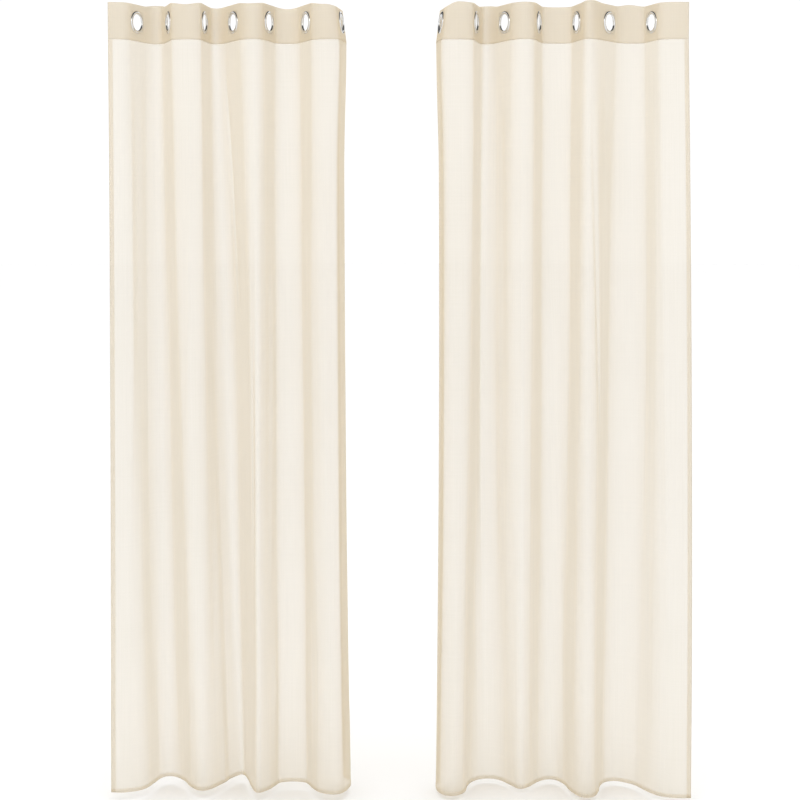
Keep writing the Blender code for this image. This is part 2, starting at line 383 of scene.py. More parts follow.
RIGHT_PANEL = PanelShape(
    name="right",
    side=Side.RIGHT,
    drop=2.139,
    corner_droop=0.032,
    edge=OuterEdge(0.769, 0.785, 0.792, -0.054, -0.076),
    crossings=(
        Crossing(0.678, 0.684, 0.667, 0.000, 70, 66, +0.052, +0.006),
        Crossing(0.566, 0.560, 0.553, 0.000, 52, 82, -0.074, +0.004),
        Crossing(0.477, 0.473, 0.466, 0.000, 76, 80, +0.067, 0.000),
        Crossing(0.377, 0.379, 0.379, +0.036, 73, 55, -0.007, 0.000),
        Crossing(0.284, 0.284, 0.300, +0.038, 64, 58, +0.074, +0.005),
        Crossing(0.209, 0.203, 0.188, 0.000, 76, 80, -0.062, +0.002),
        Crossing(0.114, 0.114, 0.103, 0.000, 80, 82, 0.000, 0.000),
    ),
    creases=(
        Crease(0.080, 0.064, 0.12, 1.70, -0.0030, 0.010),
        Crease(0.370, 0.352, 0.15, 1.30, +0.0030, 0.008),
        Crease(0.690, 0.702, 0.20, 1.60, -0.0025, 0.008),
        Crease(0.860, 0.850, 0.25, 2.05, +0.0030, 0.009),
    ),
)


class PanelPlan:
    """Where a panel's cloth runs, seen from above, at any height.

    Plan points are (distance from the middle of the pair, depth). A share of 0 is the
    whole heading and 1 is the hem. Walking goes from the outer to the leading edge.
    """

    def __init__(self, shape: PanelShape) -> None:
        """Work out the folds and the eyelets' places along the cloth.

        Args:
            shape: The panel's measured shape.
        """
        self.shape = shape
        count = len(shape.crossings)
        self.rod_handles = [self.rod_handle(i) for i in range(count - 1)]
        self.hem_handles = [self.hem_handle(i) for i in range(count - 1)]
        self.outer_strip = length_of(self.outer_fold(0.0))
        self.eyelet_places = [
            self.outer_strip + FLAT_HALF + EYELET_SPACING * i for i in range(count)
        ]

    def way(self, index: int, share: float) -> Vector:
        """Find the way the cloth runs where it crosses the line of the rod.

        Args:
            index: Number of the crossing, from the outer edge.
            share: Share of the way from the heading to the hem.

        Returns:
            Direction in plan, of length 1.
        """
        row = self.shape.crossings[index]
        angle = math.radians(blend(row.rod_angle, row.hem_angle, share))
        backward = 1.0 if index % 2 == 0 else -1.0
        return Vector((-math.cos(angle), backward * math.sin(angle)))

    def crossing(self, index: int, share: float) -> Vector:
        """Find where the cloth crosses the line of the rod.

        Args:
            index: Number of the crossing, from the outer edge.
            share: Share of the way from the heading to the hem.

        Returns:
            Plan point.
        """
        row = self.shape.crossings[index]
        distance = through_three(row.at_rod, row.at_middle, row.at_hem, share)
        return Vector((distance, row.hem_back * share))

    def flat_end(self, index: int, share: float, direction: int) -> Vector:
        """End of the flat stretch before (-1) or after (+1) a crossing."""
        half = blend(FLAT_HALF, HEM_FLAT_HALF, share)
        return self.crossing(index, share) + self.way(index, share) * half * direction

    def fold(self, index: int, share: float, handle: float) -> list[Vector]:
        """Draw the fold between one crossing and the next.

        Args:
            index: Number of the crossing before the fold.
            share: Share of the way from the heading to the hem.
            handle: Length of the curve's handles at both ends.

        Returns:
            Plan points close together.
        """
        start = self.flat_end(index, share, +1)
        end = self.flat_end(index + 1, share, -1)
        leaving = start + self.way(index, share) * handle
        arriving = end - self.way(index + 1, share) * handle
        return interpolate_bezier(start, leaving, arriving, end, CURVE_STEPS)

    def rod_handle(self, index: int) -> float:
        """Handle length that puts one eyelet spacing of cloth between two eyelets."""
        cloth = EYELET_SPACING - 2.0 * FLAT_HALF
        return solve(
            lambda handle: length_of(self.fold(index, 0.0, handle)),
            cloth, SHORTEST_HANDLE, LONGEST_HANDLE,
        )

    def hem_handle(self, index: int) -> float:
        """Find the handle length that gives a fold its reach at the hem.

        Args:
            index: Number of the crossing before the fold.

        Returns:
            The handle length.
        """
        outward = 1.0 if index % 2 == 0 else -1.0

        def furthest(handle: float) -> float:
            """How far the fold stands out for one handle length."""
            return max(outward * point.y for point in self.fold(index, 1.0, handle))

        target = outward * self.shape.crossings[index].hem_reach
        return solve(furthest, target, SHORTEST_HANDLE, LONGEST_HANDLE)

    def outer_fold(self, share: float) -> list[Vector]:
        """Draw the strip from the free outer edge to the first eyelet's flat stretch.

        Args:
            share: Share of the way from the heading to the hem.

        Returns:
            Plan points close together.
        """
        edge = self.shape.edge
        start = Vector((
            through_three(edge.at_rod, edge.at_middle, edge.at_hem, share),
            blend(edge.rod_depth, edge.hem_depth, share),
        ))
        end = self.flat_end(0, share, -1)
        reach = (end - start).length
        leaving = start + OUTER_WAY * OUTER_EDGE_HANDLE * reach
        arriving = end - self.way(0, share) * OUTER_EYELET_HANDLE * reach
        return interpolate_bezier(start, leaving, arriving, end, CURVE_STEPS)

    def back_fold(self, share: float, cloth_left: float) -> list[Vector]:
        """Draw the strip past the last eyelet, turned back in an arc.

        Args:
            share: Share of the way from the heading to the hem.
            cloth_left: Length of the arc.

        Returns:
            Plan points close together.
        """
        last = len(self.shape.crossings) - 1
        way = self.way(last, share)
        heading = math.atan2(way.y, way.x)
        radius = cloth_left / BACK_CURL
        start = self.flat_end(last, share, +1)
        centre = start + radius * Vector((math.sin(heading), -math.cos(heading)))
        points = []
        for step in range(CURVE_STEPS):
            turned = heading - BACK_CURL * step / (CURVE_STEPS - 1)
            points.append(centre + radius * Vector((-math.sin(turned), math.cos(turned))))
        return points

    def line(self, share: float) -> list[Vector]:
        """Draw the whole cloth at one height.

        Args:
            share: Share of the way from the heading to the hem.

        Returns:
            Plan points close together.
        """
        points = list(self.outer_fold(share))
        for index in range(len(self.shape.crossings) - 1):
            handle = blend(self.rod_handles[index], self.hem_handles[index], share)
            points += self.fold(index, share, handle)
        points.append(self.flat_end(len(self.shape.crossings) - 1, share, +1))
        cloth_left = max(FLAT_WIDTH - length_of(points), SHORTEST_BACK)
        points += self.back_fold(share, cloth_left)[1:]
        return points

    def places(self, share: float, stations: list[float]) -> list[tuple[Vector, Vector]]:
        """Find plan points along the cloth at one height.

        Args:
            share: Share of the way from the heading to the hem.
            stations: Lengths along the cloth, rising.

        Returns:
            The plan point and the direction towards the room's side, at each station.
        """
        points = self.line(share)
        stretch = length_of(points) / FLAT_WIDTH
        found = []
        index, walked = 0, 0.0
        for station in stations:
            target = station * stretch
            step = (points[index + 1] - points[index]).length
            while walked + step < target and index < len(points) - 2:
                walked += step
                index += 1
                step = (points[index + 1] - points[index]).length
            along = (points[index + 1] - points[index]).normalized()
            found.append((points[index] + along * (target - walked), Vector((-along.y, along.x))))
        return found

    def lean_at(self, station: float) -> float:
        """Find how far the cloth leans towards the panel, easing in over the last fold.

        Args:
            station: Length along the cloth.

        Returns:
            The lean as an angle.
        """
        fold = (EYELET_SPACING - 2.0 * FLAT_HALF) / 2.0
        start = self.eyelet_places[-1] - FLAT_HALF - fold
        return LEAN * ease((station - start) / fold)

    def droop_at(self, station: float) -> tuple[float, float]:
        """Find how far the top edge droops near the leading corner.

        Args:
            station: Length along the cloth.

        Returns:
            Droop over the last eyelet, and further droop of the free corner past it.
        """
        flat_start = self.eyelet_places[-1] - FLAT_HALF
        flat_end = flat_start + 2.0 * FLAT_HALF
        fold = (EYELET_SPACING - 2.0 * FLAT_HALF) / 2.0
        over_eyelet = EYELET_DROOP * ease((station - flat_start + fold) / fold)
        free = (station - flat_end) / (FLAT_WIDTH - flat_end)
        return over_eyelet, (self.shape.corner_droop - EYELET_DROOP) * ease(free)

    def lift_at(self, station: float) -> float:
        """Find how far the top edge rises over the folds between eyelets.

        Args:
            station: Length along the cloth.

        Returns:
            The rise, or a fall if below 0.
        """
        fold = EYELET_SPACING - 2.0 * FLAT_HALF
        for place, row in zip(self.eyelet_places, self.shape.crossings):
            along = (station - place - FLAT_HALF) / fold
            if 0.0 < along < 1.0:
                return row.top_lift * math.sin(math.pi * along) ** 2
        return 0.0

    def heading_point(
        self, place: tuple[Vector, Vector], station: float, level: float
    ) -> Vector:
        """Find a point of the heading's middle surface.

        Args:
            place: Plan point and direction of the cloth at the station.
            station: Length along the cloth.
            level: Height over the rod, measured up the cloth.

        Returns:
            The point in the row frame.
        """
        point, outward = place
        lean = self.lean_at(station)
        over_eyelet, past_eyelet = self.droop_at(station)
        level -= past_eyelet * (level - SEAM) / HEADING_HEIGHT
        if level > FLAT_HALF:
            above = (level - FLAT_HALF) / (TOP_ABOVE_ROD - FLAT_HALF)
            level += (self.lift_at(station) - over_eyelet) * min(above, 1.0)
        shifted = point - outward * level * math.sin(lean)
        return Vector((self.shape.side.value * shifted.x, shifted.y, level * math.cos(lean)))

    def cloth_point(
        self, place: tuple[Vector, Vector], station: float, height: float, proud: float
    ) -> Vector:
        """Find a point of the hanging cloth under the heading.

        Args:
            place: Plan point and direction of the cloth at the station.
            station: Length along the cloth.
            height: Height over the rod.
            proud: How far the point stands out towards the room.

        Returns:
            The point in the row frame.
        """
        point, outward = place
        upright = ease((SEAM - height) / LEAN_FADE_HEIGHT)
        lean = math.sin(self.lean_at(station)) * SEAM * (1.0 - upright)
        moved = point + outward * (-lean - proud)
        return Vector((self.shape.side.value * moved.x, moved.y, height))

    def stations(self) -> list[float]:
        """List where along the cloth a mesh has its columns.

        Returns:
            Lengths along the cloth, rising.
        """
        first, last = self.eyelet_places[0], self.eyelet_places[-1]
        found = [(first - FLAT_HALF) * i / OUTER_CELLS for i in range(OUTER_CELLS)]
        fold = EYELET_SPACING - 2.0 * FLAT_HALF
        for place in self.eyelet_places:
            start = place - FLAT_HALF
            found += [start + 2.0 * FLAT_HALF * i / FLAT_CELLS for i in range(FLAT_CELLS)]
            if place != last:
                found += [place + FLAT_HALF + fold * i / FOLD_CELLS for i in range(FOLD_CELLS)]
        back = FLAT_WIDTH - last - FLAT_HALF
        found += [last + FLAT_HALF + back * i / BACK_CELLS for i in range(BACK_CELLS + 1)]
        return found


@dataclass(frozen=True)
class SheerVoile:
    """Plain-woven polyester voile, ivory, unlined.

    Twisted threads, each covering over a quarter of its spacing, leave half of the cloth
    open. Where the cloth turns away from the eye the gaps between the upright threads
    narrow, so the side of a fold shows as a denser line.
    """

    name: str
    thread_share: float
    thread_hex: str = "#EFE5D2"
    slub_hex: str = "#E9DEC8"
    roughness: float = 0.85
    glow_share: float = 0.45
    # The threads are 0.35 mm apart, too fine to show, so the weave is drawn by its slubs:
    # thick places in the thread, drawn 3 mm across and up to 300 mm long
    slub_width: float = 0.003
    slub_length: float = 0.30
    slub_depth: float = 0.010
    cloud_size: float = 0.12
    cloud_stretch: float = 2.5
    # The upright threads show their slubs more than the level ones
    warp_part: float = 0.65
    weft_part: float = 0.35
    shine: float = 0.25
    bump_strength: float = 0.25
    bump_height: float = 0.0004
    # The filaments are clear, so a steep fold closes the gaps no further than at this cosine
    least_cosine: float = 0.45

    def build(self) -> bpy.types.Material:
        """Build the material.

        Returns:
            The material.
        """
        material, tree = new_material(self.name)
        flat_place = add_node(tree, "ShaderNodeUVMap", uv_map="flat").outputs["UV"]
        warp = self.slubs(tree, flat_place, 1.0 / self.slub_width, 1.0 / self.slub_length)
        weft = self.slubs(tree, flat_place, 1.0 / self.slub_length, 1.0 / self.slub_width)
        clouds = self.slubs(
            tree, flat_place,
            1.0 / self.cloud_size, 1.0 / (self.cloud_size * self.cloud_stretch),
        )
        both = add_node(tree, "ShaderNodeMath", {0: warp, 1: self.warp_part, 2: 0.0},
                        operation="MULTIPLY_ADD").outputs[0]
        both = add_node(tree, "ShaderNodeMath", {0: weft, 1: self.weft_part, 2: both},
                        operation="MULTIPLY_ADD").outputs[0]
        colour = add_node(
            tree, "ShaderNodeMix",
            {0: clouds, 6: linear(self.thread_hex), 7: linear(self.slub_hex)},
            data_type="RGBA",
        ).outputs[2]
        covered = add_node(
            tree, "ShaderNodeMapRange",
            {"Value": both, "From Min": 0.25, "From Max": 0.75,
             "To Min": self.thread_share - self.slub_depth,
             "To Max": self.thread_share + self.slub_depth},
        ).outputs[0]
        facing = add_node(tree, "ShaderNodeLayerWeight", {"Blend": 0.5}).outputs["Facing"]
        cosine = add_node(tree, "ShaderNodeMath", {0: 1.0, 1: facing},
                          operation="SUBTRACT").outputs[0]
        cosine = add_node(tree, "ShaderNodeMath", {0: cosine, 1: self.least_cosine},
                          operation="MAXIMUM").outputs[0]
        crowded = add_node(tree, "ShaderNodeMath", {0: covered, 1: cosine},
                           operation="DIVIDE", use_clamp=True).outputs[0]
        between_warps = add_node(tree, "ShaderNodeMath", {0: 1.0, 1: crowded},
                                 operation="SUBTRACT").outputs[0]
        between_wefts = add_node(tree, "ShaderNodeMath", {0: 1.0, 1: covered},
                                 operation="SUBTRACT").outputs[0]
        open_now = add_node(tree, "ShaderNodeMath", {0: between_warps, 1: between_wefts},
                            operation="MULTIPLY").outputs[0]
        bump = add_node(
            tree, "ShaderNodeBump",
            {"Strength": self.bump_strength, "Distance": self.bump_height, "Height": both},
        ).outputs[0]
        thread = add_node(
            tree, "ShaderNodeBsdfPrincipled",
            {"Base Color": colour, "Roughness": self.roughness, "Normal": bump,
             "Specular IOR Level": self.shine},
        ).outputs[0]
        glow = add_node(
            tree, "ShaderNodeBsdfTranslucent", {"Color": colour, "Normal": bump}
        ).outputs[0]
        cloth = add_node(
            tree, "ShaderNodeMixShader", {0: self.glow_share, 1: thread, 2: glow}
        ).outputs[0]
        clear = add_node(tree, "ShaderNodeBsdfTransparent").outputs[0]
        seen = add_node(
            tree, "ShaderNodeMixShader", {0: open_now, 1: cloth, 2: clear}
        ).outputs[0]
        add_node(tree, "ShaderNodeOutputMaterial", {"Surface": seen})
        return material

    def slubs(
        self, tree: bpy.types.NodeTree, place: bpy.types.NodeSocket, across: float, down: float
    ) -> bpy.types.NodeSocket:
        """Add stretched noise on the flat cloth.

        Args:
            tree: Tree that gets the nodes.
            place: Socket with the place on the flat cloth, in metres.
            across: Patterns a metre along the cloth.
            down: Patterns a metre down the cloth.

        Returns:
            Socket with the noise, around 0.5.
        """
        scaled = add_node(
            tree, "ShaderNodeMapping", {"Vector": place, "Scale": (across, down, 1.0)}
        ).outputs[0]
        return add_node(
            tree, "ShaderNodeTexNoise",
            {"Vector": scaled, "Scale": 1.0, "Detail": 2.0, "Roughness": 0.55},
            noise_dimensions="2D",
        ).outputs["Fac"]


@dataclass(frozen=True)
class PolishedChrome:
    """Steel pressed in a die, then chromed and polished: a bright mirror, a little soft."""

    name: str = "chromed pressed steel"
    face_hex: str = "#E2E3E4"
    roughness: float = 0.09
    ripple: float = 0.04
    # Polishing leaves marks about 1 mm apart that soften the mirror here and there
    marks_a_metre: float = 900.0

    def build(self) -> bpy.types.Material:
        """Build the material.

        Returns:
            The material.
        """
        material, tree = new_material(self.name)
        place = add_node(tree, "ShaderNodeTexCoord").outputs["Object"]
        marks = add_node(
            tree, "ShaderNodeTexNoise",
            {"Vector": place, "Scale": self.marks_a_metre, "Detail": 3.0},
        ).outputs["Fac"]
        soft = add_node(
            tree, "ShaderNodeMapRange",
            {"Value": marks, "To Min": self.roughness, "To Max": self.roughness + self.ripple},
        ).outputs[0]
        metal = add_node(
            tree, "ShaderNodeBsdfPrincipled",
            {"Base Color": linear(self.face_hex), "Metallic": 1.0, "Roughness": soft},
        ).outputs[0]
        add_node(tree, "ShaderNodeOutputMaterial", {"Surface": metal})
        return material


@dataclass(frozen=True)
class SewingThread:
    """Spun polyester sewing thread, matched to the cloth: matt, with a faint twist."""

    name: str = "spun polyester sewing thread"
    light_hex: str = "#EDE1CB"
    dark_hex: str = "#E0D0B2"
    roughness: float = 0.7
    shine: float = 0.3
    # One twist of the two plies every 0.8 mm
    twists_a_metre: float = 1250.0

    def build(self) -> bpy.types.Material:
        """Build the material.

        Returns:
            The material.
        """
        material, tree = new_material(self.name)
        place = add_node(tree, "ShaderNodeTexCoord").outputs["Object"]
        twist = add_node(
            tree, "ShaderNodeTexNoise",
            {"Vector": place, "Scale": self.twists_a_metre, "Detail": 1.0},
        ).outputs["Fac"]
        colour = add_node(
            tree, "ShaderNodeMix",
            {0: twist, 6: linear(self.light_hex), 7: linear(self.dark_hex)},
            data_type="RGBA",
        ).outputs[2]
        thread = add_node(
            tree, "ShaderNodeBsdfPrincipled",
            {"Base Color": colour, "Roughness": self.roughness, "Specular IOR Level": self.shine},
        ).outputs[0]
        add_node(tree, "ShaderNodeOutputMaterial", {"Surface": thread})
        return material


@dataclass(frozen=True)
class PaleFloor:
    """Matt pale studio floor."""

    name: str = "matt pale floor paint"
    light_hex: str = "#F8F8F8"
    dark_hex: str = "#F6F6F6"
    roughness: float = 0.9
    # A roller leaves paint a little uneven every 0.3 m or so
    patches_a_metre: float = 3.0

    def build(self) -> bpy.types.Material:
        """Build the material.

        Returns:
            The material.
        """
        material, tree = new_material(self.name)
        place = add_node(tree, "ShaderNodeTexCoord").outputs["Object"]
        roller = add_node(
            tree, "ShaderNodeTexNoise",
            {"Vector": place, "Scale": self.patches_a_metre, "Detail": 2.0},
        ).outputs["Fac"]
        colour = add_node(
            tree, "ShaderNodeMix",
            {0: roller, 6: linear(self.light_hex), 7: linear(self.dark_hex)},
            data_type="RGBA",
        ).outputs[2]
        paint = add_node(
            tree, "ShaderNodeBsdfPrincipled",
            {"Base Color": colour, "Roughness": self.roughness},
        ).outputs[0]
        add_node(tree, "ShaderNodeOutputMaterial", {"Surface": paint})
        return material


@dataclass
class Finishes:
    """The materials of the whole pair, made once."""

    voile: bpy.types.Material = field(
        default_factory=lambda: SheerVoile("ivory sheer voile", thread_share=0.30).build()
    )
    # Each face of the heading stands for two layers, as its edges are turned in
    doubled_voile: bpy.types.Material = field(
        default_factory=lambda: SheerVoile("ivory voile, doubled", thread_share=0.33).build()
    )
    metal: bpy.types.Material = field(default_factory=lambda: PolishedChrome().build())
    thread: bpy.types.Material = field(default_factory=lambda: SewingThread().build())


@dataclass(frozen=True)
class Waves:
    """Soft uneven waves over the flat cloth.

    across and down are how many there are in a metre each way, height is how far they stand
    out at most, and seed tells one set from another.
    """

    across: float
    down: float
    height: float
    seed: float

    def depth_at(self, along: float, down: float, panel_seed: float) -> float:
        """Find how far the waves stand out at a place on the flat cloth.

        Args:
            along: Length from the panel's outer edge.
            down: Length down from its top edge.
            panel_seed: Seed of the panel.

        Returns:
            Distance towards the room.
        """
        place = Vector((along * self.across, down * self.down, panel_seed + self.seed))
        return self.height * noise.noise(place)


class RippledCloth:
    """The small unevenness that lies over a panel's folds."""

    BROAD = Waves(across=18.0, down=0.9, height=0.0022, seed=0.0)
    NARROW = Waves(across=45.0, down=1.6, height=0.0009, seed=9.0)
    # The cloth flares a little more in its lower part, where nothing holds it
    FLARE = Waves(across=30.0, down=3.0, height=0.0018, seed=21.0)
    FREE_HEIGHT = 0.25
    FLARE_START = 1.2
    FLARE_HEIGHT = 0.9

    def __init__(self, shape: PanelShape) -> None:
        """Keep the panel's creases and a seed of its own."""
        self.creases = shape.creases
        self.seed = 11.0 if shape.side is Side.LEFT else 47.0

    def depth_at(self, along: float, down: float) -> float:
        """Find how far the cloth stands out at a place on the flat cloth.

        Args:
            along: Length from the panel's outer edge.
            down: Length down from its top edge.

        Returns:
            Distance towards the room.
        """
        free = ease((down - HEADING_HEIGHT) / self.FREE_HEIGHT)
        low = ease((down - self.FLARE_START) / self.FLARE_HEIGHT)
        waves = (
            self.BROAD.depth_at(along, down, self.seed)
            + self.NARROW.depth_at(along, down, self.seed)
            + low * self.FLARE.depth_at(along, down, self.seed)
        )
        folded = sum(crease.depth_at(along, down) for crease in self.creases)
        return free * (waves + folded)


@dataclass
class ClothSheet:
    """The sheer cloth of one panel, from under the heading's seam to its hem.

    Its sides and its lower edge are turned to the back and lie close behind it as hems.
    """

    plan: PanelPlan
    row_height: float = CLOTH_ROW_HEIGHT
    hem_columns: int = 3
    hem_rows: int = 2

    def columns(self) -> list[tuple[float, float]]:
        """List the mesh's columns, with both side hems turned to the back.

        Returns:
            Place along the cloth, and layers behind its face, of each column.
        """
        turned = [SIDE_HEM * i / self.hem_columns for i in range(self.hem_columns, -1, -1)]
        outer = [(along, 1.0) for along in turned]
        main = [(along, 0.0) for along in self.plan.stations()]
        leading = [(FLAT_WIDTH - along, 1.0) for along in reversed(turned)]
        return outer + main + leading

    def rows(self) -> list[tuple[float, float]]:
        """List the mesh's rows, with the hem turned up at the back.

        Returns:
            Share of the way to the hem, and layers behind the face, of each row.
        """
        length = self.plan.shape.drop - HEADING_HEIGHT
        count = round(length / self.row_height)
        main = [(i / count, 0.0) for i in range(count + 1)]
        turned = [
            (1.0 - BOTTOM_HEM / length * i / self.hem_rows, 1.0)
            for i in range(self.hem_rows + 1)
        ]
        return main + turned

    def build_mesh(self) -> bpy.types.Mesh:
        """Build the sheet's mesh.

        Returns:
            The mesh, with its place on the flat cloth as its UV map.
        """
        shape = self.plan.shape
        ripple = RippledCloth(shape)
        hem = TOP_ABOVE_ROD - shape.drop
        columns = self.columns()
        order = sorted({along for along, _ in columns})
        bm = bmesh.new()
        flat = bm.loops.layers.uv.new("flat")
        grid = []
        for share, layer in self.rows():
            places = dict(zip(order, self.plan.places(share, order)))
            height = blend(SEAM - SEAM_GAP, hem, share)
            down = TOP_ABOVE_ROD - height
            row = []
            for along, side_layer in columns:
                proud = ripple.depth_at(along, down) - LAYER_GAP * (layer + side_layer)
                point = self.plan.cloth_point(places[along], along, height, proud)
                row.append((bm.verts.new(point), (along, down)))
            grid.append(row)
        for upper, lower in zip(grid, grid[1:]):
            for j in range(len(columns) - 1):
                corners = (upper[j], upper[j + 1], lower[j + 1], lower[j])
                face = bm.faces.new([corner for corner, _ in corners])
                for loop, (_, place) in zip(face.loops, corners):
                    loop[flat].uv = place
        bmesh.ops.recalc_face_normals(bm, faces=bm.faces)
        mesh = bpy.data.meshes.new(shape.name + "_voile")
        bm.to_mesh(mesh)
        bm.free()
        mesh.shade_smooth()
        return mesh

    def build(self, finishes: Finishes) -> bpy.types.Object:
        """Build the cloth as a finished piece.

        Args:
            finishes: The pair's materials.

        Returns:
            The finished piece.
        """
        shape = self.plan.shape
        cloth = new_object(shape.name + "_voile", self.build_mesh())
        cloth.data.materials.append(finishes.voile)
        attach(cloth, "root")
        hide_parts(shape.name + "_cloth")
        return cloth


@dataclass(frozen=True)
class Patch:
    """Flat patch of cloth at an eyelet: its first column, its centre and its two ways."""

    column: int
    centre: Vector
    along: Vector
    up: Vector


@dataclass
class Heading:
    """The band of doubled cloth at the top of a panel, with a hole for each eyelet."""

    plan: PanelPlan
    hole_radius: float = 0.0266
    thickness: float = 0.0009
    edge_rows: int = 4

    def levels(self) -> list[float]:
        """List the heights of the band's rows.

        Returns:
            Heights over the rod, from the seam to the top edge.
        """
        low = [
            blend(SEAM, -FLAT_HALF, i / self.edge_rows) for i in range(self.edge_rows)
        ]
        flat = [FLAT_HALF * (2.0 * i / FLAT_CELLS - 1.0) for i in range(FLAT_CELLS)]
        high = [
            blend(FLAT_HALF, TOP_ABOVE_ROD, i / self.edge_rows)
            for i in range(self.edge_rows + 1)
        ]
        return low + flat + high

    def patch(
        self, places: list[tuple[Vector, Vector]], stations: list[float], index: int
    ) -> Patch:
        """Find the flat patch of cloth at an eyelet.

        Args:
            places: Plan point and direction at each station.
            stations: Lengths along the cloth of the mesh's columns.
            index: Number of the eyelet, from 0.

        Returns:
            The patch.
        """
        column = OUTER_CELLS + index * (FLAT_CELLS + FOLD_CELLS)
        corners = [
            self.plan.heading_point(places[column + i], stations[column + i], level)
            for i in (0, FLAT_CELLS)
            for level in (-FLAT_HALF, FLAT_HALF)
        ]
        centre = sum(corners, Vector()) / len(corners)
        along = (corners[2] - corners[0]).normalized()
        up = (corners[1] - corners[0]).normalized()
        return Patch(column, centre, along, up)

    def patches(self) -> list[Patch]:
        """Find the flat patch at every eyelet.

        Returns:
            The patches, from the outer to the leading edge.
        """
        stations = self.plan.stations()
        places = self.plan.places(0.0, stations)
        count = len(self.plan.shape.crossings)
        return [self.patch(places, stations, i) for i in range(count)]

    def rim(self, column: int) -> list[tuple[int, int]]:
        """List the corners of the grid around a patch.

        Args:
            column: First column of the patch.

        Returns:
            Rows and columns, anticlockwise from the middle of the patch's far side.
        """
        low, high = self.edge_rows, self.edge_rows + FLAT_CELLS
        near, far = column, column + FLAT_CELLS
        middle = low + FLAT_CELLS // 2
        around = [(i, far) for i in range(middle, high)]
        around += [(high, j) for j in range(far, near, -1)]
        around += [(i, near) for i in range(high, low, -1)]
        around += [(low, j) for j in range(near, far)]
        around += [(i, far) for i in range(low, middle)]
        return around

    def build_mesh(self) -> bpy.types.Mesh:
        """Build the band's middle surface.

        Returns:
            The mesh, with its place on the flat cloth as its UV map.
        """
        stations = self.plan.stations()
        places = self.plan.places(0.0, stations)
        levels = self.levels()
        bm = bmesh.new()
        flat = bm.loops.layers.uv.new("flat")
        grid = {}
        patches = self.patches()
        low = self.edge_rows
        inside = {
            (low + i, patch.column + j)
            for patch in patches
            for i in range(1, FLAT_CELLS)
            for j in range(1, FLAT_CELLS)
        }
        for i, level in enumerate(levels):
            for j, (place, station) in enumerate(zip(places, stations)):
                if (i, j) not in inside:
                    corner = bm.verts.new(self.plan.heading_point(place, station, level))
                    grid[i, j] = (corner, (station, TOP_ABOVE_ROD - level))

        def add_face(corners: list[tuple[bmesh.types.BMVert, tuple[float, float]]]) -> None:
            """Add one face.

            Args:
                corners: Its vertices, each with its place on the flat cloth.
            """
            face = bm.faces.new([corner for corner, _ in corners])
            for loop, (_, place) in zip(face.loops, corners):
                loop[flat].uv = place

        for i in range(len(levels) - 1):
            for j in range(len(stations) - 1):
                cell = [(i, j), (i, j + 1), (i + 1, j + 1), (i + 1, j)]
                in_patch = low <= i < low + FLAT_CELLS and any(
                    patch.column <= j < patch.column + FLAT_CELLS for patch in patches
                )
                if not in_patch:
                    add_face([grid[key] for key in cell])
        for patch, eyelet_place in zip(patches, self.plan.eyelet_places):
            rim = [grid[key] for key in self.rim(patch.column)]
            hole = []
            for step in range(len(rim)):
                angle = 2.0 * math.pi * step / len(rim)
                across, over = math.cos(angle), math.sin(angle)
                way = patch.along * across + patch.up * over
                corner = patch.centre + way * self.hole_radius
                station = eyelet_place + across * self.hole_radius
                down = TOP_ABOVE_ROD - over * self.hole_radius
                hole.append((bm.verts.new(corner), (station, down)))
            for step in range(len(rim)):
                after = (step + 1) % len(rim)
                add_face([hole[step], rim[step], rim[after], hole[after]])
        bmesh.ops.recalc_face_normals(bm, faces=bm.faces)
        mesh = bpy.data.meshes.new(self.plan.shape.name + "_doubled_heading")
        bm.to_mesh(mesh)
        bm.free()
        mesh.shade_smooth()
        return mesh

    def build(self, finishes: Finishes) -> bpy.types.Object:
        """Build the band as a finished piece of two close layers, closed at its edges.

        Args:
            finishes: The pair's materials.

        Returns:
            The finished piece.
        """
        name = self.plan.shape.name
        band = new_object(name + "_doubled_heading", self.build_mesh())
        band.data.materials.append(finishes.doubled_voile)
        layers = band.modifiers.new("Layers", "SOLIDIFY")
        layers.thickness = self.thickness
        layers.offset = 0.0
        flattened(band)
        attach(band, "root")
        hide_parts(name + "_heading")
        return band


